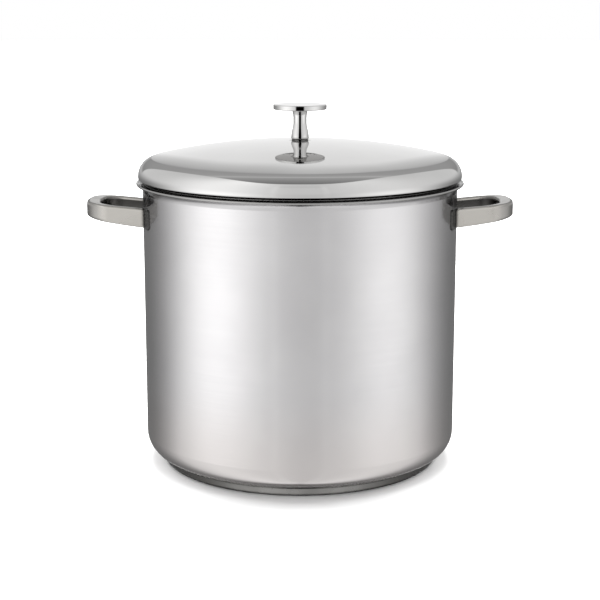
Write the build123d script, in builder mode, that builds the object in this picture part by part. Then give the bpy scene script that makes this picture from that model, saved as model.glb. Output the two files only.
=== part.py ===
from build123d import *
import math
import os

# Water bath canner: a stainless stock pot with a clad base, two strap handles,
# a domed lid with a turned knob, and a wire jar rack with two folding bails.
# Millimetres. Origin at the centre of the base's underside, +Z up, +X through
# a side handle, -Y the front.

# ---- Driving dimensions -------------------------------------------------------

# How far a cutting shape runs past what it cuts
TRIM = 10.0

# Pot
POT_RADIUS = 152.0
WALL = 1.0
BASE_THICKNESS = 6.5
FLOOR_CORNER = 22.3
FLARE_START = 266.1
FLARE_RADIUS = 7.0
FLARE_TURN = 74.5
BEAD_RADIUS = 1.2

# Clad base
CAP_RADIUS = 135.8
CAP_WALL = 0.6
CAP_EDGE = 2.6
CORE_SETBACK = 0.05

# Side handles
HANDLE_REACH = 207.0
HANDLE_HALF_WIDTH = 38.0
HANDLE_STRAP = 7.0
HANDLE_GRIP = 13.5
STRAP_EDGE = 3.0
HANDLE_CORNER = 24.0
OUTER_SWELL = 4.5
OUTER_CROWN = 60.0
GRIP_CORNER = 18.0
INNER_SWELL = 3.5
INNER_CROWN = 50.0
HANDLE_BOTTOM_SAG = 2.1
HANDLE_TOP_AT_WALL = 251.1
HANDLE_TOP_AT_END = 258.2
HANDLE_BOTTOM_AT_WALL = 232.4
HANDLE_BOTTOM_AT_END = 245.5
HANDLE_BURIED = 12.0
HANDLE_BLANK = 60.0
PLATE_THICKNESS = 1.2
PLATE_HEIGHT = 19.4
PLATE_WIDTH = 24.5
PLATE_CENTRE = 43.2
PLATE_CORNER = 4.0
PLATE_LEVEL = 243.4

# Lid
LID_THICKNESS = 0.9
LID_TOP = 313.4
DOME_RADIUS = 656.3
SHOULDER_RADIUS = 17.8
BAND_RADIUS = 156.3
BAND_BOTTOM = 277.3
CURL_RADIUS = 1.9
THROAT_RADIUS = 1.5
NECK_RADIUS = 152.1
NECK_NOSE = 3.0
SKIRT_BOTTOM = 258.5
LID_GAP = 0.3

# Knob
KNOB_DISC_RADIUS = 25.8
KNOB_DISC_HEIGHT = 4.9
KNOB_STEM_HEIGHT = 28.8
KNOB_STEM_TOP = 8.5
KNOB_STEM_WAIST = 6.5
KNOB_STEM_BULGE = 8.6
KNOB_STEM_FOOT = 7.8
SPIGOT_RADIUS = 4.0
SPIGOT_HEIGHT = 3.4
SEAT_WASHER_RADIUS = 8.0
SEAT_WASHER_HEIGHT = 0.8
SCREW_RADIUS = 2.5
SCREW_HOLE = 2.7
SCREW_GRIP = 14.0
THREAD_ALLOWANCE = 0.05
THREAD_RUNOUT = 2.0
SCREW_HEAD_RADIUS = 4.75
SCREW_HEAD_HEIGHT = 3.4
FLAT_WASHER_RADIUS = 6.0
FLAT_WASHER_HEIGHT = 1.0
SPRING_WASHER_RADIUS = 4.4
SPRING_WASHER_HEIGHT = 1.3
SPRING_WASHER_SPLIT = 0.6
SPLIT_SLANT = 25.0
STEM_BULGE_RISE = 2.4
STEM_WAIST_RISE = 16.5
KNOB_DISC_EDGE = 0.9
DRIVE_LENGTH = 4.6
DRIVE_WIDTH = 1.0
DRIVE_DEPTH = 1.6

# Jar rack
RACK_WIRE = 2.0
BAIL_WIRE = 1.75
WELD_BITE = 0.2
BUTT_BITE = 0.1
RACK_CLEARANCE = 0.2
RACK_FOOT_HEIGHT = 14.0
FOOT_HALF_SPAN = 9.0
FOOT_STATION = 106.0
FOOT_BEND = 5.0
CELLS = 6
CELL_ANGLE = 60.0
FLOOR_RING_RADII = {
    "rack_inner_ring": 22.0,
    "rack_second_ring": 46.0,
    "rack_third_ring": 86.0,
    "rack_outer_ring": 126.0,
}
DIVIDER_INNER = 46.0
DIVIDER_OUTER = 138.0
DIVIDER_BEND = 7.0
DIVIDER_RISE = 62.0
SIDE_WIRE_KNEE = 26.0
GUARD_RING_RISE = 33.0
TOP_RING_RISE = 54.0
BAIL_HALF_SPAN = 30.0
BAIL_HEIGHT = 106.0
BAIL_HOOK = 11.0
BAIL_HOOK_RISE = 9.0
BAIL_LEAN = 6.0
BAIL_BEND = 5.0
EYE_CLEARANCE = 0.6
EYE_WRAP = 250.0

# ---- Worked-out dimensions ----------------------------------------------------

POT_BORE = POT_RADIUS - WALL
FLOOR_TOP = BASE_THICKNESS + WALL
CORNER_CENTRE = POT_RADIUS - FLOOR_CORNER
CORNER_LEVEL = BASE_THICKNESS + FLOOR_CORNER
FLARE_CENTRE = POT_RADIUS + FLARE_RADIUS

RACK_LEVEL = FLOOR_TOP + RACK_CLEARANCE + RACK_FOOT_HEIGHT + RACK_WIRE
WELD_PITCH = 2 * RACK_WIRE - WELD_BITE
DIVIDER_TOP = RACK_LEVEL + DIVIDER_RISE
GUARD_RADIUS = DIVIDER_OUTER + WELD_PITCH
TOP_RING_LEVEL = RACK_LEVEL + TOP_RING_RISE


def save(piece, name):
    """Label a finished piece and write it to its own file."""
    piece.part.label = name
    export_step(piece.part, f"parts/{name}.step")


def along_arc(centre, radius, degrees):
    """The point at an angle on a circle."""
    turn = math.radians(degrees)
    return (centre[0] + radius * math.cos(turn), centre[1] + radius * math.sin(turn))


os.makedirs("parts", exist_ok=True)

# ---- Pot shell ----------------------------------------------------------------

flare_centre = (FLARE_CENTRE, FLARE_START)
flare_end = 180.0 - FLARE_TURN
bead_centre = along_arc(flare_centre, FLARE_RADIUS + WALL / 2, flare_end)

with BuildPart() as pot_shell:
    with BuildSketch(Plane.XZ):
        with BuildLine():
            Line((0, BASE_THICKNESS), (CORNER_CENTRE, BASE_THICKNESS))
            CenterArc((CORNER_CENTRE, CORNER_LEVEL), FLOOR_CORNER, -90, 90)
            Line((POT_RADIUS, CORNER_LEVEL), (POT_RADIUS, FLARE_START))
            CenterArc(flare_centre, FLARE_RADIUS, 180, -FLARE_TURN)
            Line(
                along_arc(flare_centre, FLARE_RADIUS, flare_end),
                along_arc(flare_centre, FLARE_RADIUS + WALL, flare_end),
            )
            CenterArc(flare_centre, FLARE_RADIUS + WALL, 180, -FLARE_TURN)
            Line((POT_BORE, FLARE_START), (POT_BORE, CORNER_LEVEL))
            CenterArc((CORNER_CENTRE, CORNER_LEVEL), FLOOR_CORNER - WALL, -90, 90)
            Line((CORNER_CENTRE, FLOOR_TOP), (0, FLOOR_TOP))
            Line((0, FLOOR_TOP), (0, BASE_THICKNESS))
        make_face()
        with Locations(bead_centre):
            Circle(BEAD_RADIUS)
    revolve(axis=Axis.Z)
save(pot_shell, "pot_shell")

# ---- Clad base: a spreader disc sealed under the floor by a pressed cap --------

CORE_RADIUS = CAP_RADIUS - CAP_WALL - CORE_SETBACK
CORE_EDGE = CAP_EDGE - CAP_WALL

with BuildPart() as base_core_disc:
    with BuildSketch(Plane.XY.offset(CAP_WALL)):
        Circle(CORE_RADIUS)
    extrude(amount=BASE_THICKNESS - CAP_WALL)
    fillet(base_core_disc.edges().sort_by(Axis.Z)[0], CORE_EDGE)
save(base_core_disc, "base_core_disc")

CORE_BEND = (CAP_RADIUS - CAP_EDGE, CAP_EDGE)
CAP_INSIDE = CAP_RADIUS - CAP_WALL
CAP_HEIGHT = CORNER_LEVEL - math.sqrt(FLOOR_CORNER**2 - (CAP_INSIDE - CORNER_CENTRE) ** 2)

with BuildPart() as base_cap:
    with BuildSketch(Plane.XZ):
        with BuildLine():
            Line((0, 0), (CAP_RADIUS - CAP_EDGE, 0))
            CenterArc(CORE_BEND, CAP_EDGE, -90, 90)
            Polyline(
                (CAP_RADIUS, CAP_EDGE),
                (CAP_RADIUS, CAP_HEIGHT),
                (CAP_INSIDE, CAP_HEIGHT),
                (CAP_INSIDE, CAP_EDGE),
            )
            CenterArc(CORE_BEND, CORE_EDGE, -90, 90)
            Polyline((CAP_RADIUS - CAP_EDGE, CAP_WALL), (0, CAP_WALL), (0, 0))
        make_face()
    revolve(axis=Axis.Z)
save(base_cap, "base_cap")

# ---- Side handles and their weld plates ----------------------------------------

PLATE_OUTSIDE = POT_RADIUS + PLATE_THICKNESS
HANDLE_ROOT = POT_RADIUS - HANDLE_BURIED
HANDLE_MIDDLE = (HANDLE_ROOT + HANDLE_REACH) / 2
HANDLE_END = HANDLE_REACH + TRIM
HANDLE_BOTTOM_AT_MIDDLE = (
    HANDLE_BOTTOM_AT_WALL + HANDLE_BOTTOM_AT_END
) / 2 - HANDLE_BOTTOM_SAG
INNER_HALF_WIDTH = HANDLE_HALF_WIDTH - HANDLE_STRAP
INNER_REACH = HANDLE_REACH - HANDLE_GRIP


def strap_outline(half_width, reach, swell, corner, crown):
    """A D-shaped line, closed inside the pot wall."""
    FilletPolyline(
        (HANDLE_ROOT, -half_width),
        (reach - swell, -half_width),
        (reach, 0),
        (reach - swell, half_width),
        (HANDLE_ROOT, half_width),
        radius=[corner, crown, corner],
    )
    Line((HANDLE_ROOT, half_width), (HANDLE_ROOT, -half_width))


with BuildPart() as handle_right:
    with BuildSketch(Plane.XY.offset(HANDLE_BOTTOM_AT_WALL - TRIM)):
        with BuildLine():
            strap_outline(
                HANDLE_HALF_WIDTH, HANDLE_REACH, OUTER_SWELL, HANDLE_CORNER, OUTER_CROWN
            )
        make_face()
        with BuildLine():
            strap_outline(INNER_HALF_WIDTH, INNER_REACH, INNER_SWELL, GRIP_CORNER, INNER_CROWN)
        make_face(mode=Mode.SUBTRACT)
    extrude(amount=HANDLE_BLANK)
    with BuildSketch(Plane.XZ):
        with BuildLine():
            Line((HANDLE_ROOT, HANDLE_TOP_AT_WALL), (HANDLE_END, HANDLE_TOP_AT_END))
            Line((HANDLE_END, HANDLE_TOP_AT_END), (HANDLE_END, HANDLE_BOTTOM_AT_END))
            ThreePointArc(
                (HANDLE_END, HANDLE_BOTTOM_AT_END),
                (HANDLE_MIDDLE, HANDLE_BOTTOM_AT_MIDDLE),
                (HANDLE_ROOT, HANDLE_BOTTOM_AT_WALL),
            )
            Line((HANDLE_ROOT, HANDLE_BOTTOM_AT_WALL), (HANDLE_ROOT, HANDLE_TOP_AT_WALL))
        make_face()
    extrude(amount=HANDLE_HALF_WIDTH + TRIM, both=True, mode=Mode.INTERSECT)
    level_faces = handle_right.faces().sort_by(Axis.Z)
    rims = level_faces[0].edges() + level_faces[-1].edges()
    rims = rims.filter_by(lambda edge: edge.center().X > HANDLE_ROOT + 0.1)
    fillet(rims, STRAP_EDGE)
    with BuildSketch(Plane.XY.offset(HANDLE_BOTTOM_AT_WALL - TRIM)):
        Circle(PLATE_OUTSIDE)
    extrude(amount=HANDLE_BLANK, mode=Mode.SUBTRACT)
save(handle_right, "handle_right")

with BuildPart() as handle_left:
    mirror(handle_right.part, about=Plane.YZ)
save(handle_left, "handle_left")


def mount_plates(side):
    """The pair of thin curved plates that spread one handle's welds on the wall."""
    with BuildPart() as plates:
        with BuildSketch(Plane.XY.offset(PLATE_LEVEL)):
            Circle(PLATE_OUTSIDE)
            Circle(POT_RADIUS, mode=Mode.SUBTRACT)
        extrude(amount=PLATE_HEIGHT, both=True)
        with BuildSketch(Plane.YZ):
            with Locations((PLATE_CENTRE, PLATE_LEVEL), (-PLATE_CENTRE, PLATE_LEVEL)):
                RectangleRounded(PLATE_WIDTH, PLATE_HEIGHT, PLATE_CORNER)
        extrude(amount=side * (POT_RADIUS + TRIM), mode=Mode.INTERSECT)
    return plates


save(mount_plates(1), "handle_right_mount_plates")
save(mount_plates(-1), "handle_left_mount_plates")

# ---- Lid: dome, shoulder, upright band, curled edge, neck and skirt -------------

DOME_CENTRE = (0, LID_TOP - DOME_RADIUS)
DOME_HALF_ANGLE = math.degrees(
    math.asin((BAND_RADIUS - SHOULDER_RADIUS) / (DOME_RADIUS - SHOULDER_RADIUS))
)
SHOULDER_CENTRE = along_arc(DOME_CENTRE, DOME_RADIUS - SHOULDER_RADIUS, 90 - DOME_HALF_ANGLE)
SHOULDER_LEVEL = SHOULDER_CENTRE[1]
CURL_CENTRE = (BAND_RADIUS - CURL_RADIUS, BAND_BOTTOM + CURL_RADIUS)
THROAT_CENTRE = (NECK_RADIUS + THROAT_RADIUS, BAND_BOTTOM - THROAT_RADIUS)
SEAT_RADIUS = FLARE_RADIUS + WALL + LID_GAP
SKIRT_RADIUS = FLARE_CENTRE - SEAT_RADIUS
NOSE_RADIUS = NECK_RADIUS - NECK_NOSE
NOSE_LEVEL = FLARE_START + math.sqrt(
    (NECK_NOSE + SEAT_RADIUS) ** 2 - (FLARE_CENTRE - NOSE_RADIUS) ** 2
)
SEAT_ANGLE = math.degrees(math.atan2(NOSE_LEVEL - FLARE_START, FLARE_CENTRE - NOSE_RADIUS))


def lid_surface(depth):
    """The lid's section line at a depth below its outer skin."""
    CenterArc(DOME_CENTRE, DOME_RADIUS - depth, 90, -DOME_HALF_ANGLE)
    CenterArc(SHOULDER_CENTRE, SHOULDER_RADIUS - depth, 0, 90 - DOME_HALF_ANGLE)
    Line((BAND_RADIUS - depth, SHOULDER_LEVEL), (BAND_RADIUS - depth, CURL_CENTRE[1]))
    CenterArc(CURL_CENTRE, CURL_RADIUS - depth, -90, 90)
    Line((CURL_CENTRE[0], BAND_BOTTOM + depth), (THROAT_CENTRE[0], BAND_BOTTOM + depth))
    CenterArc(THROAT_CENTRE, THROAT_RADIUS + depth, 90, 90)
    Line((NECK_RADIUS - depth, THROAT_CENTRE[1]), (NECK_RADIUS - depth, NOSE_LEVEL))
    CenterArc((NOSE_RADIUS, NOSE_LEVEL), NECK_NOSE - depth, -SEAT_ANGLE, SEAT_ANGLE)
    CenterArc(
        (FLARE_CENTRE, FLARE_START), SEAT_RADIUS + depth, 180 - SEAT_ANGLE, SEAT_ANGLE
    )
    Line((SKIRT_RADIUS - depth, FLARE_START), (SKIRT_RADIUS - depth, SKIRT_BOTTOM))


with BuildPart() as lid_shell:
    with BuildSketch(Plane.XZ):
        with BuildLine():
            lid_surface(0)
            lid_surface(LID_THICKNESS)
            Line((0, LID_TOP), (0, LID_TOP - LID_THICKNESS))
            Line((SKIRT_RADIUS, SKIRT_BOTTOM), (SKIRT_RADIUS - LID_THICKNESS, SKIRT_BOTTOM))
        make_face()
    revolve(axis=Axis.Z)
    with BuildSketch(Plane.XY.offset(LID_TOP - TRIM)):
        Circle(SCREW_HOLE)
    extrude(amount=2 * TRIM, mode=Mode.SUBTRACT)
save(lid_shell, "lid_shell")

# ---- Knob: washer, turned stem and disc, drawn down by a screw from inside ------

STEM_BOTTOM = LID_TOP + SEAT_WASHER_HEIGHT
STEM_TOP = STEM_BOTTOM + KNOB_STEM_HEIGHT
LID_UNDERSIDE = LID_TOP - LID_THICKNESS
WASHER_SAG = DOME_RADIUS - math.sqrt(DOME_RADIUS**2 - FLAT_WASHER_RADIUS**2)
FLAT_WASHER_TOP = LID_UNDERSIDE - WASHER_SAG
SPRING_WASHER_TOP = FLAT_WASHER_TOP - FLAT_WASHER_HEIGHT
SCREW_SEAT = SPRING_WASHER_TOP - SPRING_WASHER_HEIGHT


def round_washer(outer_radius, hole_radius, bottom, height):
    """A flat ring about the knob's axis."""
    with BuildPart() as washer:
        with BuildSketch(Plane.XY.offset(bottom)):
            Circle(outer_radius)
            Circle(hole_radius, mode=Mode.SUBTRACT)
        extrude(amount=height)
    return washer


save(
    round_washer(SEAT_WASHER_RADIUS, SCREW_HOLE, LID_TOP, SEAT_WASHER_HEIGHT),
    "knob_seat_washer",
)
save(
    round_washer(FLAT_WASHER_RADIUS, SCREW_HOLE, SPRING_WASHER_TOP, FLAT_WASHER_HEIGHT),
    "knob_flat_washer",
)

with BuildPart() as knob_spring_washer:
    with BuildSketch(Plane.XY.offset(SCREW_SEAT)):
        Circle(SPRING_WASHER_RADIUS)
        Circle(SCREW_HOLE, mode=Mode.SUBTRACT)
    extrude(amount=SPRING_WASHER_HEIGHT)
    with BuildSketch(Plane.XZ):
        with Locations((0, SCREW_SEAT + SPRING_WASHER_HEIGHT / 2)):
            Rectangle(SPRING_WASHER_SPLIT, 4 * SPRING_WASHER_HEIGHT, rotation=SPLIT_SLANT)
    extrude(amount=2 * SPRING_WASHER_RADIUS, mode=Mode.SUBTRACT)
save(knob_spring_washer, "knob_spring_washer")

UPWARD = (0, 1)
FLARING = (0.75, 1)

with BuildPart() as knob_stem:
    with BuildSketch(Plane.XZ):
        with BuildLine():
            Spline(
                (KNOB_STEM_BULGE, STEM_BOTTOM + STEM_BULGE_RISE),
                (KNOB_STEM_WAIST, STEM_BOTTOM + STEM_WAIST_RISE),
                (KNOB_STEM_TOP, STEM_TOP),
                tangents=[UPWARD, UPWARD, FLARING],
            )
            TangentArc(
                (KNOB_STEM_BULGE, STEM_BOTTOM + STEM_BULGE_RISE),
                (KNOB_STEM_FOOT, STEM_BOTTOM),
                tangent=(0, -1),
            )
            Polyline(
                (KNOB_STEM_TOP, STEM_TOP),
                (SPIGOT_RADIUS, STEM_TOP),
                (SPIGOT_RADIUS, STEM_TOP + SPIGOT_HEIGHT),
                (0, STEM_TOP + SPIGOT_HEIGHT),
                (0, STEM_BOTTOM),
                (KNOB_STEM_FOOT, STEM_BOTTOM),
            )
        make_face()
    revolve(axis=Axis.Z)
    with BuildSketch(Plane.XY.offset(STEM_BOTTOM)):
        Circle(SCREW_RADIUS + THREAD_ALLOWANCE)
    extrude(amount=SCREW_GRIP + THREAD_RUNOUT, mode=Mode.SUBTRACT)
save(knob_stem, "knob_stem")

with BuildPart() as knob_disc:
    with BuildSketch(Plane.XY.offset(STEM_TOP)):
        Circle(KNOB_DISC_RADIUS)
    extrude(amount=KNOB_DISC_HEIGHT)
    fillet(knob_disc.edges().filter_by(GeomType.CIRCLE), KNOB_DISC_EDGE)
    with BuildSketch(Plane.XY.offset(STEM_TOP)):
        Circle(SPIGOT_RADIUS)
    extrude(amount=SPIGOT_HEIGHT, mode=Mode.SUBTRACT)
save(knob_disc, "knob_disc")

with BuildPart() as knob_screw:
    with BuildSketch(Plane.XY.offset(SCREW_SEAT - SCREW_HEAD_HEIGHT)):
        Circle(SCREW_HEAD_RADIUS)
    extrude(amount=SCREW_HEAD_HEIGHT)
    fillet(knob_screw.edges().sort_by(Axis.Z)[0], SCREW_HEAD_HEIGHT / 2)
    with BuildSketch(Plane.XY.offset(SCREW_SEAT)):
        Circle(SCREW_RADIUS)
    extrude(amount=STEM_BOTTOM + SCREW_GRIP - SCREW_SEAT)
    with BuildSketch(Plane.XY.offset(SCREW_SEAT - SCREW_HEAD_HEIGHT)):
        Rectangle(DRIVE_LENGTH, DRIVE_WIDTH)
        Rectangle(DRIVE_WIDTH, DRIVE_LENGTH)
    extrude(amount=DRIVE_DEPTH, mode=Mode.SUBTRACT)
save(knob_screw, "knob_screw")

# ---- Jar rack: welded wire floor, cell dividers, guard rings and feet -----------


def wire_ring(ring_radius, level):
    """A closed ring of rack wire about the pot's axis."""
    with BuildPart() as ring:
        with BuildSketch(Plane.XZ):
            with Locations((ring_radius, level)):
                Circle(RACK_WIRE)
        revolve(axis=Axis.Z)
    return ring


def bent_wire(path, wire_radius):
    """Sweep a round wire along a path, from its first end."""
    with BuildSketch(Plane(origin=path @ 0, z_dir=path % 0)) as section:
        Circle(wire_radius)
    sweep(section.sketch, path=path)


for ring_name, ring_radius in FLOOR_RING_RADII.items():
    save(wire_ring(ring_radius, RACK_LEVEL), ring_name)
save(wire_ring(GUARD_RADIUS, RACK_LEVEL + GUARD_RING_RISE), "rack_guard_ring")
save(wire_ring(GUARD_RADIUS, TOP_RING_LEVEL), "rack_top_ring")

SPOKE_START = FLOOR_RING_RADII["rack_inner_ring"] - RACK_WIRE
SPOKE_END = FLOOR_RING_RADII["rack_outer_ring"] + RACK_WIRE

with BuildPart() as rack_floor_wires:
    for cell in range(CELLS):
        spoke = Plane.XZ.rotated((0, 0, cell * CELL_ANGLE))
        with BuildLine(spoke) as run:
            Line((SPOKE_START, RACK_LEVEL + WELD_PITCH), (SPOKE_END, RACK_LEVEL + WELD_PITCH))
        bent_wire(run.line, RACK_WIRE)
save(rack_floor_wires, "rack_floor_wires")

outer_ring = (FLOOR_RING_RADII["rack_outer_ring"], RACK_LEVEL)
knee = (DIVIDER_OUTER, RACK_LEVEL + SIDE_WIRE_KNEE)
side_wire_slope = math.degrees(math.atan2(knee[1] - outer_ring[1], knee[0] - outer_ring[0]))
side_wire_end = along_arc(outer_ring, RACK_WIRE - BUTT_BITE, side_wire_slope)

with BuildPart() as rack_dividers:
    for cell in range(CELLS):
        fence = Plane.XZ.rotated((0, 0, (cell + 0.5) * CELL_ANGLE))
        with BuildLine(fence) as run:
            FilletPolyline(
                (DIVIDER_INNER, RACK_LEVEL + RACK_WIRE - BUTT_BITE),
                (DIVIDER_INNER, DIVIDER_TOP),
                (DIVIDER_OUTER, DIVIDER_TOP),
                knee,
                side_wire_end,
                radius=[DIVIDER_BEND, DIVIDER_BEND, DIVIDER_BEND],
            )
        bent_wire(run.line, RACK_WIRE)
save(rack_dividers, "rack_dividers")

sole = RACK_LEVEL - RACK_FOOT_HEIGHT
leg_top = RACK_LEVEL + WELD_PITCH - RACK_WIRE + BUTT_BITE

with BuildPart() as rack_feet:
    for cell in range(CELLS):
        upright = Plane.XZ.rotated((0, 0, cell * CELL_ANGLE))
        with BuildLine(upright) as run:
            FilletPolyline(
                (FOOT_STATION - FOOT_HALF_SPAN, leg_top),
                (FOOT_STATION - FOOT_HALF_SPAN, sole),
                (FOOT_STATION + FOOT_HALF_SPAN, sole),
                (FOOT_STATION + FOOT_HALF_SPAN, leg_top),
                radius=FOOT_BEND,
            )
        bent_wire(run.line, RACK_WIRE)
save(rack_feet, "rack_feet")

# ---- Bails: wire handles hooked round the rack's top ring ----------------------

EYE_RADIUS = RACK_WIRE + EYE_CLEARANCE + BAIL_WIRE
BAIL_AXIS = math.sqrt(GUARD_RADIUS**2 - BAIL_HALF_SPAN**2)


def eye(half_span):
    """A curl of wire that wraps the top ring and runs into the bail's leg."""
    points = [along_arc((0, 0), EYE_RADIUS, 180 + turn) for turn in (0, EYE_WRAP / 2, EYE_WRAP)]
    ThreePointArc(*[(across, half_span, up) for across, up in points])


with BuildPart() as rack_handle_right:
    lean = Plane(origin=(BAIL_AXIS, 0, TOP_RING_LEVEL)).rotated((0, -BAIL_LEAN, 0))
    with BuildLine(lean) as run:
        eye(-BAIL_HALF_SPAN)
        FilletPolyline(
            (-EYE_RADIUS, -BAIL_HALF_SPAN, 0),
            (-EYE_RADIUS, -BAIL_HALF_SPAN, BAIL_HEIGHT),
            (BAIL_HOOK - EYE_RADIUS, -BAIL_HALF_SPAN, BAIL_HEIGHT + BAIL_HOOK_RISE),
            (BAIL_HOOK - EYE_RADIUS, BAIL_HALF_SPAN, BAIL_HEIGHT + BAIL_HOOK_RISE),
            (-EYE_RADIUS, BAIL_HALF_SPAN, BAIL_HEIGHT),
            (-EYE_RADIUS, BAIL_HALF_SPAN, 0),
            radius=BAIL_BEND,
        )
        eye(BAIL_HALF_SPAN)
    bent_wire(run.line, BAIL_WIRE)
save(rack_handle_right, "rack_handle_right")

with BuildPart() as rack_handle_left:
    mirror(rack_handle_right.part, about=Plane.YZ)
save(rack_handle_left, "rack_handle_left")
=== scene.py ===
import math

import bpy
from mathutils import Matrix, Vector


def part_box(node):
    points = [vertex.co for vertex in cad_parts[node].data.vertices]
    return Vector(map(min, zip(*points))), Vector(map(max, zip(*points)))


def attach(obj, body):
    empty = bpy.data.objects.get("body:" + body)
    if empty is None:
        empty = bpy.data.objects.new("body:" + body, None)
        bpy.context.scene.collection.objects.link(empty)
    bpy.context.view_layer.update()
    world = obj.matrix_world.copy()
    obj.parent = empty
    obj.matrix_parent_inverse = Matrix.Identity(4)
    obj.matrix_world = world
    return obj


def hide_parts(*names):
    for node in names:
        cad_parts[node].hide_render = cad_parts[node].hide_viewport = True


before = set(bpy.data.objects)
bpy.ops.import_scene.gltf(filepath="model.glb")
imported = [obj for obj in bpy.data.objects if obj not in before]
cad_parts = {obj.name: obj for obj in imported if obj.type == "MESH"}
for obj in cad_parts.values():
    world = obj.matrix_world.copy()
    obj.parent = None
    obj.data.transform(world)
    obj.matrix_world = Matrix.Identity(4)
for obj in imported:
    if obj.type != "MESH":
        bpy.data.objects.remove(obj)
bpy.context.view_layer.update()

# ---- Node helpers --------------------------------------------------------------


def link(tree, source, socket):
    tree.links.new(source, socket)


def feed(tree, socket, value):
    """Links value into socket if it is a socket, or sets it if it is a number."""
    if isinstance(value, bpy.types.NodeSocket):
        link(tree, value, socket)
    else:
        socket.default_value = value


def calc(tree, operation, *values):
    """The output of a Math node with these inputs."""
    node = tree.nodes.new("ShaderNodeMath")
    node.operation = operation
    for socket, value in zip(node.inputs, values):
        feed(tree, socket, value)
    return node.outputs[0]


def ease(tree, value, start, end, low=0.0, high=1.0):
    """value from start to end, eased onto low to high."""
    node = tree.nodes.new("ShaderNodeMapRange")
    node.interpolation_type = "SMOOTHSTEP"
    feed(tree, node.inputs["Value"], value)
    feed(tree, node.inputs["From Min"], start)
    feed(tree, node.inputs["From Max"], end)
    feed(tree, node.inputs["To Min"], low)
    feed(tree, node.inputs["To Max"], high)
    return node.outputs["Result"]


def blend_numbers(tree, share, first, second):
    """first where share is 0, second where it is 1."""
    node = tree.nodes.new("ShaderNodeMix")
    node.data_type = "FLOAT"
    feed(tree, node.inputs[0], share)
    feed(tree, node.inputs[2], first)
    feed(tree, node.inputs[3], second)
    return node.outputs[0]


# ---- Studio --------------------------------------------------------------------

CAMERA_PLACE = (0.0, -1.442, 0.456)
CAMERA_PITCH_DOWN = 11.76
CAMERA_LENS = 89.61
SENSOR_WIDTH = 36.0
CAMERA_CLIP_END = 100.0

# The studio is given in displayed brightness. Steel shows this share of it.
STEEL_SHARE = 0.62

LEFT_BOX_AZIMUTH = -62.0
LEFT_BOX_LOW = 0.9
LEFT_BOX_HIGH = 0.36
RIGHT_BOX_AZIMUTH = 66.0
RIGHT_BOX_LOW = 0.72
RIGHT_BOX_HIGH = 0.16
BOX_WIDTH_LOW = 44.0
BOX_WIDTH_HIGH = 38.0
LOW_ELEVATION = -10.0
HIGH_ELEVATION = 9.0
ROOM_LOW = 0.11
ROOM_HIGH = 0.5
FRONT_FILL = 0.185
FRONT_FILL_WIDTH = 32.0
TABLE_LEVEL = 0.52
TABLE_SHARE = 0.64
TABLE_TOP_ELEVATION = -15.0
TABLE_FULL_ELEVATION = -17.8


def bump_curve(tree, azimuth, centre, width, level):
    """A soft box seen along the horizon: level at its centre, fading either side."""
    away = calc(tree, "SUBTRACT", azimuth, centre)
    share = calc(tree, "DIVIDE", away, width)
    squared = calc(tree, "MULTIPLY", share, share)
    falling = calc(tree, "EXPONENT", calc(tree, "MULTIPLY", squared, -1.0))
    return calc(tree, "MULTIPLY", falling, level)


def soft_boxes(tree, azimuth, elevation):
    """The two side soft boxes, the room and the front fill."""
    lifted = ease(tree, elevation, LOW_ELEVATION, HIGH_ELEVATION)
    width = blend_numbers(tree, lifted, BOX_WIDTH_LOW, BOX_WIDTH_HIGH)
    left_level = blend_numbers(tree, lifted, LEFT_BOX_LOW, LEFT_BOX_HIGH)
    right_level = blend_numbers(tree, lifted, RIGHT_BOX_LOW, RIGHT_BOX_HIGH)
    fill_level = blend_numbers(tree, lifted, FRONT_FILL, 0.0)
    left = bump_curve(tree, azimuth, LEFT_BOX_AZIMUTH, width, left_level)
    right = bump_curve(tree, azimuth, RIGHT_BOX_AZIMUTH, width, right_level)
    fill = bump_curve(tree, azimuth, 0.0, FRONT_FILL_WIDTH, fill_level)
    boxes = calc(tree, "ADD", left, right)
    room = blend_numbers(tree, lifted, ROOM_LOW, ROOM_HIGH)
    lit = calc(tree, "ADD", calc(tree, "ADD", boxes, fill), room)
    down = calc(tree, "MULTIPLY", elevation, -1.0)
    table = ease(tree, down, -TABLE_TOP_ELEVATION, -TABLE_FULL_ELEVATION, 0.0, TABLE_SHARE)
    shaded = calc(tree, "MINIMUM", lit, TABLE_LEVEL)
    return blend_numbers(tree, table, lit, shaded)


BACK_PANEL_HALF_WIDTH = 11.0
BACK_PANEL_FOOT = 7.2
BACK_PANEL_WIDENING = 0.16
BACK_PANEL_HEIGHT = 28.2
BACK_PANEL_RIGHT_HEIGHT = 29.8
BACK_PANEL_DEPTH = 7.0
BACK_PANEL_CORNER = 2.7
BACK_PANEL_REACH = 2.0
BACK_PANEL_UPRIGHT_CORNER = 2.0
BACK_PANEL_STEP_START = -0.05
BACK_PANEL_STEP_END = 0.01
STRAIGHT_BEHIND = 180.0
# Each stop is a distance from the panel's middle (1 at its edge) and a brightness.
BACK_PANEL_STOPS = (
    (0.0, 0.63),
    (0.8, 0.61),
    (1.0, 0.465),
    (1.4, 0.3),
    (1.7, 0.0),
)


def ramp(tree, value, stops, reach):
    """A brightness that follows stops along value, which runs from 0 to reach."""
    node = tree.nodes.new("ShaderNodeValToRGB")
    node.color_ramp.interpolation = "LINEAR"
    while len(node.color_ramp.elements) < len(stops):
        node.color_ramp.elements.new(0.5)
    for element, (place, level) in zip(node.color_ramp.elements, stops):
        element.position = place / reach
        element.color = (level, level, level, 1.0)
    link(tree, calc(tree, "DIVIDE", value, reach), node.inputs["Fac"])
    return node.outputs["Color"]


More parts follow.
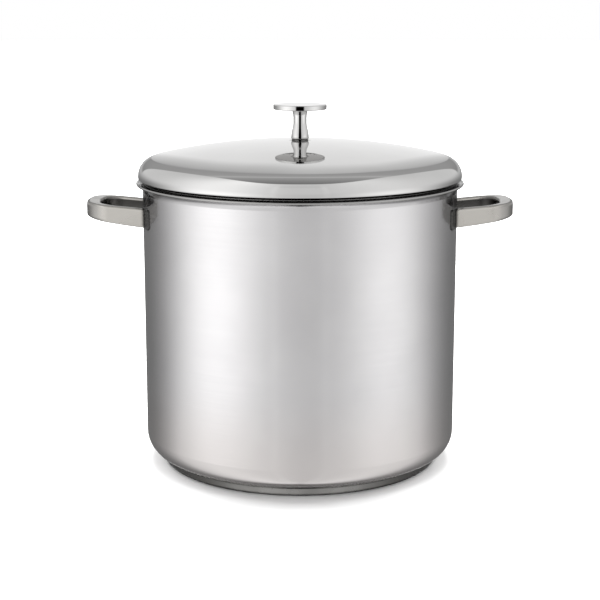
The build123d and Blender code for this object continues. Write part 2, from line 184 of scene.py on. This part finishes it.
def back_panel(tree, azimuth, elevation, side):
    """The white panel behind the object: low, narrow, rounded, a little taller on the right."""
    aside = calc(tree, "SUBTRACT", STRAIGHT_BEHIND, calc(tree, "ABSOLUTE", azimuth))
    climb = calc(tree, "MULTIPLY", calc(tree, "MAXIMUM", elevation, 0.0), BACK_PANEL_WIDENING)
    width = calc(tree, "MINIMUM", calc(tree, "ADD", climb, BACK_PANEL_FOOT), BACK_PANEL_HALF_WIDTH)
    across = calc(tree, "POWER", calc(tree, "DIVIDE", aside, width), BACK_PANEL_CORNER)
    height = ease(
        tree,
        side,
        BACK_PANEL_STEP_START,
        BACK_PANEL_STEP_END,
        BACK_PANEL_HEIGHT,
        BACK_PANEL_RIGHT_HEIGHT,
    )
    above = calc(tree, "DIVIDE", elevation, height)
    below = calc(tree, "DIVIDE", elevation, -BACK_PANEL_DEPTH)
    up = calc(tree, "POWER", calc(tree, "MAXIMUM", above, below), BACK_PANEL_UPRIGHT_CORNER)
    away = calc(tree, "MINIMUM", calc(tree, "ADD", across, up), BACK_PANEL_REACH)
    return ramp(tree, away, BACK_PANEL_STOPS, BACK_PANEL_REACH)


CEILING_HALF_WIDTH = 0.5
CEILING_FRONT_EDGE = 121.0
CEILING_ROUNDING_START = 60.0
CEILING_ROUNDNESS = 3.0
CEILING_SOFTNESS = 0.12
CEILING_BACK_FADE = 8.0
CEILING_REACH = 180.0
# Each stop is an angle from the back, up over the top, and a brightness.
CEILING_STOPS = (
    (0.0, 0.16),
    (20.0, 0.25),
    (62.0, 0.31),
    (71.0, 0.4),
    (79.0, 0.3),
    (122.0, 0.15),
)


def ceiling(tree, along):
    """The dim ceiling between the soft boxes, from the back over the top."""
    held = calc(tree, "MAXIMUM", along, 0.0)
    return ramp(tree, calc(tree, "MINIMUM", held, CEILING_REACH), CEILING_STOPS, CEILING_REACH)


def ceiling_mask(tree, side, along):
    """Where the ceiling shows: a strip over the top with a rounded front end."""
    across = calc(tree, "DIVIDE", calc(tree, "ABSOLUTE", side), CEILING_HALF_WIDTH)
    past = calc(tree, "MAXIMUM", calc(tree, "SUBTRACT", along, CEILING_ROUNDING_START), 0.0)
    forward = calc(tree, "DIVIDE", past, CEILING_FRONT_EDGE - CEILING_ROUNDING_START)
    sideways = calc(tree, "POWER", across, CEILING_ROUNDNESS)
    lengthways = calc(tree, "POWER", forward, CEILING_ROUNDNESS)
    total = calc(tree, "ADD", sideways, lengthways)
    inside = ease(tree, total, 1.0 - CEILING_SOFTNESS, 1.0 + CEILING_SOFTNESS, 1.0, 0.0)
    above = ease(tree, along, 0.0, CEILING_BACK_FADE)
    return calc(tree, "MULTIPLY", inside, above)


SLOT_HALF_WIDTH = 18.0
SLOT_SOFTNESS = 3.0
SLOT_FADE_START = 35.0
SLOT_FADE_END = 55.0
FRONT_CARD_RADIUS = 6.0
FRONT_CARD_REACH = 26.0
FRONT_CARD_TOP = 85.0
FRONT_CARD_STEPS = 24
# The card glows for rays below this depth, so a mirror image in a mirror sees the dark slot.
SECOND_BOUNCE = 1.5


def studio_brightness(tree, direction):
    """How bright the studio is in each direction, and how far that lies in the front slot."""
    parts = tree.nodes.new("ShaderNodeSeparateXYZ")
    link(tree, direction, parts.inputs[0])
    side = parts.outputs["X"]
    depth = parts.outputs["Y"]
    height = parts.outputs["Z"]
    towards_front = calc(tree, "MULTIPLY", depth, -1.0)
    azimuth = calc(tree, "DEGREES", calc(tree, "ARCTAN2", side, towards_front))
    elevation = calc(tree, "DEGREES", calc(tree, "ARCSINE", height))
    along = calc(tree, "DEGREES", calc(tree, "ARCTAN2", height, depth))
    boxes = soft_boxes(tree, azimuth, elevation)
    overhead = blend_numbers(tree, ceiling_mask(tree, side, along), boxes, ceiling(tree, along))
    brightness = calc(tree, "MAXIMUM", overhead, back_panel(tree, azimuth, elevation, side))
    off_centre = calc(tree, "ABSOLUTE", azimuth)
    inner_edge = SLOT_HALF_WIDTH - SLOT_SOFTNESS
    outer_edge = SLOT_HALF_WIDTH + SLOT_SOFTNESS
    upright = ease(tree, off_centre, inner_edge, outer_edge, 1.0, 0.0)
    low = ease(tree, elevation, SLOT_FADE_START, SLOT_FADE_END, 1.0, 0.0)
    return brightness, calc(tree, "MULTIPLY", upright, low)


def make_world():
    """White where the camera looks past the object, a soft-box studio everywhere else."""
    world = bpy.data.worlds.new("studio")
    bpy.context.scene.world = world
    world.use_nodes = True
    tree = world.node_tree
    tree.nodes.clear()
    direction = tree.nodes.new("ShaderNodeTexCoord").outputs["Generated"]
    brightness, slot = studio_brightness(tree, direction)
    outside_slot = calc(tree, "MULTIPLY", brightness, calc(tree, "SUBTRACT", 1.0, slot))
    studio = tree.nodes.new("ShaderNodeBackground")
    link(tree, outside_slot, studio.inputs["Color"])
    studio.inputs["Strength"].default_value = 1.0 / STEEL_SHARE
    white = tree.nodes.new("ShaderNodeBackground")
    white.inputs["Color"].default_value = (1.0, 1.0, 1.0, 1.0)
    chosen = tree.nodes.new("ShaderNodeMixShader")
    path = tree.nodes.new("ShaderNodeLightPath")
    link(tree, path.outputs["Is Camera Ray"], chosen.inputs[0])
    link(tree, studio.outputs[0], chosen.inputs[1])
    link(tree, white.outputs[0], chosen.inputs[2])
    output = tree.nodes.new("ShaderNodeOutputWorld")
    link(tree, chosen.outputs[0], output.inputs["Surface"])


def front_card_mesh():
    """A curved card across the front slot, from almost straight below to almost straight above."""
    points = []
    faces = []
    steps = FRONT_CARD_STEPS
    for row in range(steps + 1):
        elevation = math.radians(-FRONT_CARD_TOP + 2.0 * FRONT_CARD_TOP * row / steps)
        for column in range(steps + 1):
            azimuth = math.radians(-FRONT_CARD_REACH + 2.0 * FRONT_CARD_REACH * column / steps)
            flat = FRONT_CARD_RADIUS * math.cos(elevation)
            height = FRONT_CARD_RADIUS * math.sin(elevation)
            points.append((flat * math.sin(azimuth), -flat * math.cos(azimuth), height))
    for row in range(steps):
        for column in range(steps):
            corner = row * (steps + 1) + column
            faces.append((corner, corner + 1, corner + steps + 2, corner + steps + 1))
    mesh = bpy.data.meshes.new("front_card")
    mesh.from_pydata(points, [], faces)
    return mesh


def front_card_material():
    """Glows with what the dark slot takes away, and lets all other light through."""
    material = bpy.data.materials.new("front_card_glow")
    material.use_nodes = True
    material.cycles.emission_sampling = "NONE"
    tree = material.node_tree
    tree.nodes.clear()
    coordinates = tree.nodes.new("ShaderNodeTexCoord")
    unit = tree.nodes.new("ShaderNodeVectorMath")
    unit.operation = "NORMALIZE"
    link(tree, coordinates.outputs["Object"], unit.inputs[0])
    brightness, slot = studio_brightness(tree, unit.outputs["Vector"])
    path = tree.nodes.new("ShaderNodeLightPath")
    first = calc(tree, "LESS_THAN", path.outputs["Ray Depth"], SECOND_BOUNCE)
    shown = calc(tree, "MULTIPLY", slot, first)
    glow = tree.nodes.new("ShaderNodeEmission")
    link(tree, calc(tree, "MULTIPLY", brightness, shown), glow.inputs["Color"])
    glow.inputs["Strength"].default_value = 1.0 / STEEL_SHARE
    clear = tree.nodes.new("ShaderNodeBsdfTransparent")
    both = tree.nodes.new("ShaderNodeAddShader")
    link(tree, glow.outputs[0], both.inputs[0])
    link(tree, clear.outputs[0], both.inputs[1])
    output = tree.nodes.new("ShaderNodeOutputMaterial")
    link(tree, both.outputs[0], output.inputs["Surface"])
    return material


def make_front_card(unlit_nodes):
    """Fills the front slot for everything but the knob, which mirrors the dark slot itself."""
    mesh = front_card_mesh()
    mesh.materials.append(front_card_material())
    card = bpy.data.objects.new("front_card", mesh)
    card.visible_camera = False
    bpy.context.scene.collection.objects.link(card)
    receivers = bpy.data.collections.new("front_card_receivers")
    card.light_linking.receiver_collection = receivers
    for name in unlit_nodes:
        receivers.objects.link(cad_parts[name])
    for entry in receivers.collection_objects:
        entry.light_linking.link_state = "EXCLUDE"


def make_camera():
    data = bpy.data.cameras.new("camera")
    data.lens = CAMERA_LENS
    data.sensor_width = SENSOR_WIDTH
    data.clip_end = CAMERA_CLIP_END
    camera = bpy.data.objects.new("camera", data)
    camera.location = CAMERA_PLACE
    camera.rotation_euler = (math.radians(90.0 - CAMERA_PITCH_DOWN), 0.0, 0.0)
    bpy.context.scene.collection.objects.link(camera)
    bpy.context.scene.camera = camera


FLOOR_HALF_SIDE = 12.0
FLOOR_DROP = 0.0003
FLOOR_WHITE = (0.9, 0.9, 0.9, 1.0)
FLOOR_ROUGHNESS = 0.9
MIRRORED_FLOOR_RADIUS = 0.132
MIRRORED_FLOOR_END = 0.145


def floor_material():
    """Matt white. Rays mirrored by steel see it close to the base and pass through it further out."""
    material = bpy.data.materials.new("floor_white")
    material.use_nodes = True
    tree = material.node_tree
    shader = tree.nodes["Principled BSDF"]
    shader.inputs["Base Color"].default_value = FLOOR_WHITE
    shader.inputs["Roughness"].default_value = FLOOR_ROUGHNESS
    shader.inputs["Specular IOR Level"].default_value = 0.0
    coordinates = tree.nodes.new("ShaderNodeTexCoord")
    length = tree.nodes.new("ShaderNodeVectorMath")
    length.operation = "LENGTH"
    link(tree, coordinates.outputs["Object"], length.inputs[0])
    far = ease(tree, length.outputs["Value"], MIRRORED_FLOOR_RADIUS, MIRRORED_FLOOR_END)
    path = tree.nodes.new("ShaderNodeLightPath")
    unseen = calc(tree, "MULTIPLY", far, path.outputs["Is Glossy Ray"])
    clear = tree.nodes.new("ShaderNodeBsdfTransparent")
    mixed = tree.nodes.new("ShaderNodeMixShader")
    link(tree, unseen, mixed.inputs[0])
    link(tree, shader.outputs[0], mixed.inputs[1])
    link(tree, clear.outputs[0], mixed.inputs[2])
    link(tree, mixed.outputs[0], tree.nodes["Material Output"].inputs["Surface"])
    return material


def make_floor():
    mesh = bpy.data.meshes.new("floor")
    side = FLOOR_HALF_SIDE
    corners = [(-side, -side, 0.0), (side, -side, 0.0), (side, side, 0.0), (-side, side, 0.0)]
    mesh.from_pydata(corners, [], [(0, 1, 2, 3)])
    mesh.materials.append(floor_material())
    floor = bpy.data.objects.new("floor", mesh)
    floor.location.z = -FLOOR_DROP
    bpy.context.scene.collection.objects.link(floor)


TOP_LIGHT_STRENGTH = 4.4
TOP_LIGHT_SPREAD = 38.0
TOP_LIGHT_FROM_BEHIND = 17.0
SIDE_LIGHT_STRENGTH = 1.9
SIDE_LIGHT_SPREAD = 40.0
SIDE_LIGHT_ELEVATION = 35.0
SIDE_LIGHT_AZIMUTH = 122.0


def add_floor_light(name, strength, spread, tilt, turn):
    """A broad light that only matt surfaces take; steel doesn't mirror it."""
    data = bpy.data.lights.new(name, "SUN")
    data.energy = strength
    data.angle = math.radians(spread)
    light = bpy.data.objects.new(name, data)
    light.rotation_euler = (math.radians(tilt), 0.0, math.radians(turn))
    light.visible_glossy = False
    bpy.context.scene.collection.objects.link(light)


def make_floor_lights():
    """One light above and a little behind, and a weak one low on each side."""
    add_floor_light("top_light", TOP_LIGHT_STRENGTH, TOP_LIGHT_SPREAD, -TOP_LIGHT_FROM_BEHIND, 0.0)
    tilt = 90.0 - SIDE_LIGHT_ELEVATION
    for name, side in (("left_light", -1.0), ("right_light", 1.0)):
        turn = side * SIDE_LIGHT_AZIMUTH
        add_floor_light(name, SIDE_LIGHT_STRENGTH, SIDE_LIGHT_SPREAD, tilt, turn)


# ---- Materials -----------------------------------------------------------------


def start_material(name, roughness):
    """A metal material with its constants set, its tree and its shader."""
    material = bpy.data.materials.new(name)
    material.use_nodes = True
    tree = material.node_tree
    shader = tree.nodes["Principled BSDF"]
    shader.inputs["Metallic"].default_value = 1.0
    shader.inputs["Roughness"].default_value = roughness
    return material, tree, shader


UNSTRETCHED = (1.0, 1.0, 1.0)


def place(tree, stretch):
    """The object's own coordinates, stretched along each axis."""
    coordinates = tree.nodes.new("ShaderNodeTexCoord")
    mapping = tree.nodes.new("ShaderNodeMapping")
    mapping.inputs["Scale"].default_value = stretch
    link(tree, coordinates.outputs["Object"], mapping.inputs["Vector"])
    return mapping.outputs["Vector"]


def noise(tree, vector, scale, detail):
    node = tree.nodes.new("ShaderNodeTexNoise")
    node.inputs["Scale"].default_value = scale
    node.inputs["Detail"].default_value = detail
    link(tree, vector, node.inputs["Vector"])
    return node.outputs["Fac"]


PATCH_START = 0.3
PATCH_END = 0.7


def patchy(tree, value, low=0.0, high=1.0):
    """low to high in soft patches that follow a noise value."""
    return ease(tree, value, PATCH_START, PATCH_END, low, high)


# Painted shade: narrow gaps and seams that ambient occlusion finds are coloured almost black.
CREVICE_REACH = 0.004
FINE_CREVICE_REACH = 0.0015
CREVICE_SHUT = 0.6
CREVICE_OPEN = 0.96
CREVICE_SAMPLES = 8
CREVICE_SHADE_COLOUR = (0.012, 0.011, 0.01)


def mix_colours(tree, share, first, second):
    """The colour first where share is 0, second where it is 1."""
    node = tree.nodes.new("ShaderNodeMix")
    node.data_type = "RGBA"
    link(tree, share, node.inputs[0])
    for socket, colour in ((node.inputs[6], first), (node.inputs[7], second)):
        if isinstance(colour, bpy.types.NodeSocket):
            link(tree, colour, socket)
        else:
            socket.default_value = (*colour, 1.0)
    return node.outputs[2]


def tint(tree, shader, value, dark, light, reach=CREVICE_REACH):
    """Colours the shader between dark and light by value, and paints shade into narrow gaps, almost black.
    """
    steel = mix_colours(tree, value, dark, light)
    hollow = tree.nodes.new("ShaderNodeAmbientOcclusion")
    hollow.samples = CREVICE_SAMPLES
    feed(tree, hollow.inputs["Distance"], reach)
    open_share = ease(tree, hollow.outputs["AO"], CREVICE_SHUT, CREVICE_OPEN)
    coloured = mix_colours(tree, open_share, CREVICE_SHADE_COLOUR, steel)
    link(tree, coloured, shader.inputs["Base Color"])


def bumps(tree, shader, height, strength, distance):
    node = tree.nodes.new("ShaderNodeBump")
    node.inputs["Strength"].default_value = strength
    node.inputs["Distance"].default_value = distance
    link(tree, height, node.inputs["Height"])
    link(tree, node.outputs["Normal"], shader.inputs["Normal"])


SEAM_CREVICE_REACH = 0.001
RIM_START = 0.2705
RIM_FULL = 0.273
# Painted shade: the rolled rim above RIM_START is coloured darker than the wall.
RIM_PAINTED_SHADE = (0.36, 0.355, 0.35)
UPPER_WALL_DARK = (0.603, 0.594, 0.6)
UPPER_WALL_LIGHT = (0.636, 0.627, 0.632)
# Painted reflection: the wall is tinted warmer towards the foot, below UPPER_WALL_START.
FOOT_REFLECTION_DARK = (0.628, 0.6, 0.59)
FOOT_REFLECTION_LIGHT = (0.656, 0.627, 0.617)
LOWER_WALL_END = 0.02
UPPER_WALL_START = 0.11
SEAM_END = 0.03
LIP_START = 0.2


def satin_steel():
    """The spun wall: polishing lines round it, faint clouds, a warmer foot from a painted warm reflection
    and a darker rim from painted shade.
    """
    material, tree, shader = start_material("satin_steel", roughness=0.16)
    lines = noise(tree, place(tree, (6.0, 6.0, 1800.0)), scale=1.0, detail=3.0)
    clouds = noise(tree, place(tree, UNSTRETCHED), scale=14.0, detail=3.0)
    cloudy = patchy(tree, clouds)
    upper = mix_colours(tree, cloudy, UPPER_WALL_DARK, UPPER_WALL_LIGHT)
    # Painted warm reflection for the foot of the wall.
    reflected_foot = mix_colours(tree, cloudy, FOOT_REFLECTION_DARK, FOOT_REFLECTION_LIGHT)
    parts = tree.nodes.new("ShaderNodeSeparateXYZ")
    link(tree, place(tree, UNSTRETCHED), parts.inputs[0])
    height = parts.outputs["Z"]
    wall = mix_colours(tree, ease(tree, height, LOWER_WALL_END, UPPER_WALL_START), reflected_foot, upper)
    reach = ease(tree, height, SEAM_END, LIP_START, SEAM_CREVICE_REACH, CREVICE_REACH)
    # Painted shade on the rim, and painted shade in narrow gaps through tint.
    tint(tree, shader, ease(tree, height, RIM_START, RIM_FULL), wall, RIM_PAINTED_SHADE, reach)
    link(tree, ease(tree, lines, 0.2, 0.8, 0.12, 0.2), shader.inputs["Roughness"])
    bumps(tree, shader, lines, strength=0.04, distance=0.0004)
    return material


MIRROR_DARK = (0.605, 0.6, 0.595)
MIRROR_LIGHT = (0.63, 0.627, 0.622)


def mirror_steel(name, crevice_reach):
    """Buffed bright: almost a mirror, with hairlines round it and faint smears."""
    material, tree, shader = start_material(name, roughness=0.05)
    smears = noise(tree, place(tree, (1.0, 1.0, 1.6)), scale=22.0, detail=4.0)
    hairlines = noise(tree, place(tree, (9.0, 9.0, 1400.0)), scale=1.0, detail=2.0)
    fine = patchy(tree, smears)
    tint(tree, shader, fine, MIRROR_DARK, MIRROR_LIGHT, crevice_reach)
    link(tree, ease(tree, smears, 0.3, 0.75, 0.035, 0.07), shader.inputs["Roughness"])
    bumps(tree, shader, hairlines, strength=0.01, distance=0.0002)
    return material


STRAP_LOOP_CENTRE = 0.165
# Painted shade for the loop's inside, top and bend, and a painted dark reflection for mirror images.
STRAP_INSIDE_SHADE = (0.13, 0.126, 0.12)
STRAP_TOP_SHADE = (0.35, 0.342, 0.328)
STRAP_BEND_SHADE = (0.3, 0.291, 0.278)
STRAP_PAINTED_REFLECTION = (0.16, 0.157, 0.152)
STRAP_DARK = (0.59, 0.567, 0.53)
STRAP_LIGHT = (0.635, 0.612, 0.572)
INSIDE_START = 0.002
INSIDE_FULL = 0.008
UPRIGHT_FULL = 0.02
UPRIGHT_END = 0.3
TOP_START = 0.75
TOP_FULL = 0.97
BEND_START = 0.03
BEND_FULL = 0.55


def strap_faces(tree):
    """How far a handle's face looks into its own loop, upwards, and away along the width; these place the
    painted shade.
    """
    coordinates = tree.nodes.new("ShaderNodeTexCoord")
    parts = tree.nodes.new("ShaderNodeSeparateXYZ")
    link(tree, coordinates.outputs["Object"], parts.inputs[0])
    outward = calc(tree, "SUBTRACT", calc(tree, "ABSOLUTE", parts.outputs["X"]), STRAP_LOOP_CENTRE)
    facing = tree.nodes.new("ShaderNodeSeparateXYZ")
    link(tree, coordinates.outputs["Normal"], facing.inputs[0])
    side = calc(tree, "SIGN", parts.outputs["X"])
    outward_facing = calc(tree, "MULTIPLY", facing.outputs["X"], side)
    along_x = calc(tree, "MULTIPLY", outward_facing, outward)
    along_y = calc(tree, "MULTIPLY", facing.outputs["Y"], parts.outputs["Y"])
    inward = calc(tree, "MULTIPLY", calc(tree, "ADD", along_x, along_y), -1.0)
    bend = calc(tree, "ABSOLUTE", facing.outputs["X"])
    upright = ease(tree, facing.outputs["Z"], UPRIGHT_FULL, UPRIGHT_END, 1.0, 0.0)
    inside = calc(tree, "MULTIPLY", ease(tree, inward, INSIDE_START, INSIDE_FULL), upright)
    top = ease(tree, facing.outputs["Z"], TOP_START, TOP_FULL)
    return inside, top, ease(tree, bend, BEND_START, BEND_FULL)


def handle_steel():
    """Satin handle steel, a little warm. Painted shade colours the loop's inside, its top and its bend
    darker.

    In a mirror image the whole strap takes one dark colour, a painted reflection.
    """
    material, tree, shader = start_material("handle_satin", roughness=0.26)
    grain = noise(tree, place(tree, UNSTRETCHED), scale=900.0, detail=3.0)
    clouds = noise(tree, place(tree, UNSTRETCHED), scale=30.0, detail=3.0)
    inside, top, bend = strap_faces(tree)
    satin = mix_colours(tree, patchy(tree, clouds), STRAP_DARK, STRAP_LIGHT)
    # Painted shade by facing direction, then a painted reflection for glossy rays.
    bend_shaded = mix_colours(tree, bend, satin, STRAP_BEND_SHADE)
    top_shaded = mix_colours(tree, top, bend_shaded, STRAP_TOP_SHADE)
    strap_shaded = mix_colours(tree, inside, top_shaded, STRAP_INSIDE_SHADE)
    path = tree.nodes.new("ShaderNodeLightPath")
    tint(tree, shader, path.outputs["Is Glossy Ray"], strap_shaded, STRAP_PAINTED_REFLECTION)
    link(tree, patchy(tree, clouds, 0.22, 0.3), shader.inputs["Roughness"])
    bumps(tree, shader, grain, strength=0.06, distance=0.0003)
    return material


# Painted shade: the plates are coloured far darker than steel, with a cloudy tone between these two.
PLATE_SHADE_DARK = (0.13, 0.128, 0.124)
PLATE_SHADE_LIGHT = (0.2, 0.197, 0.19)


def plate_steel():
    """The welded mounting plates: cloudy, and coloured much darker than the wall with painted shade."""
    material, tree, shader = start_material("welded_plate", roughness=0.22)
    clouds = noise(tree, place(tree, UNSTRETCHED), scale=60.0, detail=4.0)
    tint(tree, shader, patchy(tree, clouds), PLATE_SHADE_DARK, PLATE_SHADE_LIGHT)
    link(tree, patchy(tree, clouds, 0.16, 0.28), shader.inputs["Roughness"])
    bumps(tree, shader, clouds, strength=0.05, distance=0.0004)
    return material


# Painted shade: the base is coloured far darker than steel, and darker still at its left and right flanks
# past FLANK_START.
BASE_SHADE_DARK = (0.24, 0.235, 0.227)
BASE_SHADE_LIGHT = (0.31, 0.304, 0.295)
BASE_FLANK_SHADE = (0.075, 0.073, 0.07)
FLANK_START = 0.02
FLANK_FULL = 0.1
TURNING_LINES = 5200.0


def base_steel():
    """The pressed base: dull and cloudy, with turning lines, coloured dark with painted shade and darker
    still to its left and right.
    """
    material, tree, shader = start_material("turned_base", roughness=0.35)
    parts = tree.nodes.new("ShaderNodeSeparateXYZ")
    link(tree, place(tree, UNSTRETCHED), parts.inputs[0])
    flat = tree.nodes.new("ShaderNodeCombineXYZ")
    link(tree, parts.outputs["X"], flat.inputs["X"])
    link(tree, parts.outputs["Y"], flat.inputs["Y"])
    length = tree.nodes.new("ShaderNodeVectorMath")
    length.operation = "LENGTH"
    link(tree, flat.outputs[0], length.inputs[0])
    turning = calc(tree, "SINE", calc(tree, "MULTIPLY", length.outputs["Value"], TURNING_LINES))
    clouds = noise(tree, place(tree, UNSTRETCHED), scale=40.0, detail=4.0)
    across = calc(tree, "ABSOLUTE", parts.outputs["X"])
    cloudy = mix_colours(tree, patchy(tree, clouds), BASE_SHADE_DARK, BASE_SHADE_LIGHT)
    # Painted shade by position: darker towards the left and right flanks.
    tint(tree, shader, ease(tree, across, FLANK_START, FLANK_FULL), cloudy, BASE_FLANK_SHADE, FINE_CREVICE_REACH)
    link(tree, patchy(tree, clouds, 0.22, 0.3), shader.inputs["Roughness"])
    bumps(tree, shader, turning, strength=0.08, distance=0.0002)
    return material


WIRE_DARK = (0.55, 0.548, 0.545)
WIRE_LIGHT = (0.64, 0.638, 0.632)


def wire_steel():
    """Drawn and electropolished wire."""
    material, tree, shader = start_material("drawn_wire", roughness=0.2)
    draw = noise(tree, place(tree, UNSTRETCHED), scale=700.0, detail=3.0)
    clouds = noise(tree, place(tree, UNSTRETCHED), scale=45.0, detail=3.0)
    tint(tree, shader, patchy(tree, clouds), WIRE_DARK, WIRE_LIGHT)
    link(tree, patchy(tree, draw, 0.15, 0.28), shader.inputs["Roughness"])
    bumps(tree, shader, draw, strength=0.05, distance=0.0002)
    return material


FASTENER_DARK = (0.48, 0.475, 0.465)
FASTENER_LIGHT = (0.6, 0.597, 0.59)


def fastener_steel():
    """Plain machine-screw steel."""
    material, tree, shader = start_material("plain_fastener", roughness=0.3)
    grain = noise(tree, place(tree, UNSTRETCHED), scale=1200.0, detail=3.0)
    tint(tree, shader, patchy(tree, grain), FASTENER_DARK, FASTENER_LIGHT)
    link(tree, patchy(tree, grain, 0.25, 0.4), shader.inputs["Roughness"])
    bumps(tree, shader, grain, strength=0.1, distance=0.0002)
    return material


ALUMINIUM_DARK = (0.7, 0.7, 0.705)
ALUMINIUM_LIGHT = (0.8, 0.8, 0.805)


def core_aluminium():
    """Matt rolled aluminium."""
    material, tree, shader = start_material("matt_aluminium", roughness=0.5)
    grain = noise(tree, place(tree, (60.0, 900.0, 900.0)), scale=1.0, detail=3.0)
    tint(tree, shader, patchy(tree, grain), ALUMINIUM_DARK, ALUMINIUM_LIGHT)
    link(tree, patchy(tree, grain, 0.42, 0.58), shader.inputs["Roughness"])
    bumps(tree, shader, grain, strength=0.1, distance=0.0002)
    return material


# ---- Spun lid -------------------------------------------------------------------

MM = 0.001
TURNS = 360
SHARP_ANGLE = 35.0
SAME_POINT = 1e-4
DOME_STEPS = 40
SHOULDER_STEPS = 36
BAND_STEPS = 6
CURL_STEPS = 12
NECK_STEPS = 10
SKIRT_STEPS = 4
# The lid's section in millimetres, with the same measures as the CAD lid
DOME_RADIUS = 656.3
SHOULDER_RADIUS = 17.8
CURL_RADIUS = 1.9
BAND_BOTTOM = 277.3
THROAT_RADIUS = 1.5
NECK_RADIUS = 152.1
NECK_NOSE = 3.0
FLARE_CENTRE = 159.0
FLARE_START = 266.1
SEAT_RADIUS = 8.3
LID_THICKNESS = 0.9
SCREW_HOLE = 2.7


def arc(centre, radius, start, end, pieces):
    """Points on an arc, both ends included, in degrees from the outward direction."""
    points = []
    for step in range(pieces + 1):
        turn = math.radians(start + (end - start) * step / pieces)
        points.append((centre[0] + radius * math.cos(turn), centre[1] + radius * math.sin(turn)))
    return points


def straight(start, end, pieces):
    """Points on a straight line, both ends included."""
    points = []
    for step in range(pieces + 1):
        share = step / pieces
        points.append((start[0] + (end[0] - start[0]) * share, start[1] + (end[1] - start[1]) * share))
    return points


def without_repeats(points):
    kept = []
    for point in points:
        if not kept or math.dist(point, kept[-1]) > SAME_POINT:
            kept.append(point)
    return kept


def lid_line(lid_top, band_radius, skirt_bottom, depth):
    """The lid's section from the knob's hole to the skirt's end, depth below the outer skin."""
    dome_centre = (0.0, lid_top - DOME_RADIUS)
    reach = DOME_RADIUS - SHOULDER_RADIUS
    half_angle = math.degrees(math.asin((band_radius - SHOULDER_RADIUS) / reach))
    lean = math.radians(90.0 - half_angle)
    shoulder_centre = (reach * math.cos(lean), dome_centre[1] + reach * math.sin(lean))
    dome = DOME_RADIUS - depth
    hole_angle = math.degrees(math.acos(SCREW_HOLE / dome))
    points = arc(dome_centre, dome, hole_angle, 90.0 - half_angle, DOME_STEPS)
    points += arc(shoulder_centre, SHOULDER_RADIUS - depth, 90.0 - half_angle, 0.0, SHOULDER_STEPS)
    curl_centre = (band_radius - CURL_RADIUS, BAND_BOTTOM + CURL_RADIUS)
    band_top = (band_radius - depth, shoulder_centre[1])
    band_foot = (band_radius - depth, curl_centre[1])
    points += straight(band_top, band_foot, BAND_STEPS)
    points += arc(curl_centre, CURL_RADIUS - depth, 0.0, -90.0, CURL_STEPS)
    throat_centre = (NECK_RADIUS + THROAT_RADIUS, BAND_BOTTOM - THROAT_RADIUS)
    points += arc(throat_centre, THROAT_RADIUS + depth, 90.0, 180.0, NECK_STEPS)
    nose_radius = NECK_RADIUS - NECK_NOSE
    nose_rise = math.sqrt((NECK_NOSE + SEAT_RADIUS) ** 2 - (FLARE_CENTRE - nose_radius) ** 2)
    nose_level = FLARE_START + nose_rise
    seat_angle = math.degrees(math.atan2(nose_rise, FLARE_CENTRE - nose_radius))
    points += arc((nose_radius, nose_level), NECK_NOSE - depth, 0.0, -seat_angle, NECK_STEPS)
    flare_centre = (FLARE_CENTRE, FLARE_START)
    points += arc(flare_centre, SEAT_RADIUS + depth, 180.0 - seat_angle, 180.0, NECK_STEPS)
    skirt_radius = FLARE_CENTRE - SEAT_RADIUS - depth
    points += straight((skirt_radius, FLARE_START), (skirt_radius, skirt_bottom), SKIRT_STEPS)
    return without_repeats(points)


def lathe(name, section):
    """Turns a closed section, in millimetres, round the upright axis."""
    mesh = bpy.data.meshes.new(name)
    points = []
    for turn in range(TURNS):
        angle = 2.0 * math.pi * turn / TURNS
        across = math.cos(angle)
        along = math.sin(angle)
        for radius, level in section:
            points.append((radius * MM * across, radius * MM * along, level * MM))
    count = len(section)
    faces = []
    for turn in range(TURNS):
        here = turn * count
        there = ((turn + 1) % TURNS) * count
        for step in range(count):
            after = (step + 1) % count
            faces.append((here + step, here + after, there + after, there + step))
    mesh.from_pydata(points, [], faces)
    mesh.shade_smooth()
    mesh.set_sharp_from_angle(angle=math.radians(SHARP_ANGLE))
    piece = bpy.data.objects.new(name, mesh)
    bpy.context.scene.collection.objects.link(piece)
    return piece


def make_lid(finish):
    """One turned piece that takes the place of the CAD lid's faceted mesh."""
    low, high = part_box("lid_shell")
    lid_top = high.z / MM
    band_radius = high.x / MM
    skirt_bottom = low.z / MM
    outside = lid_line(lid_top, band_radius, skirt_bottom, 0.0)
    inside = lid_line(lid_top, band_radius, skirt_bottom, LID_THICKNESS)
    lid = lathe("lid_spun", outside + inside[::-1])
    lid.data.materials.append(finish)
    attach(lid, "lid")
    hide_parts("lid_shell")


def dress_nodes():
    """Gives every CAD node the finish of its slot, and the mount plates one of their own."""
    finishes = {
        "pot_satin_steel": satin_steel(),
        "mirror_steel": mirror_steel("lid_mirror", CREVICE_REACH),
        "knob_steel": mirror_steel("knob_mirror", FINE_CREVICE_REACH),
        "handle_steel": handle_steel(),
        "base_steel": base_steel(),
        "rack_wire_steel": wire_steel(),
        "fastener_steel": fastener_steel(),
        "aluminium_core": core_aluminium(),
    }
    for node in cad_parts.values():
        slot_name = node.data.materials[0].name
        node.data.materials[0] = finishes[slot_name]
    plates = plate_steel()
    for name in ("handle_left_mount_plates", "handle_right_mount_plates"):
        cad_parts[name].data.materials[0] = plates
    return finishes


make_world()
make_front_card(["knob_disc", "knob_stem", "knob_seat_washer"])
make_camera()
make_floor()
make_floor_lights()
finishes = dress_nodes()
make_lid(finishes["mirror_steel"])
bpy.context.scene.view_settings.view_transform = "Standard"
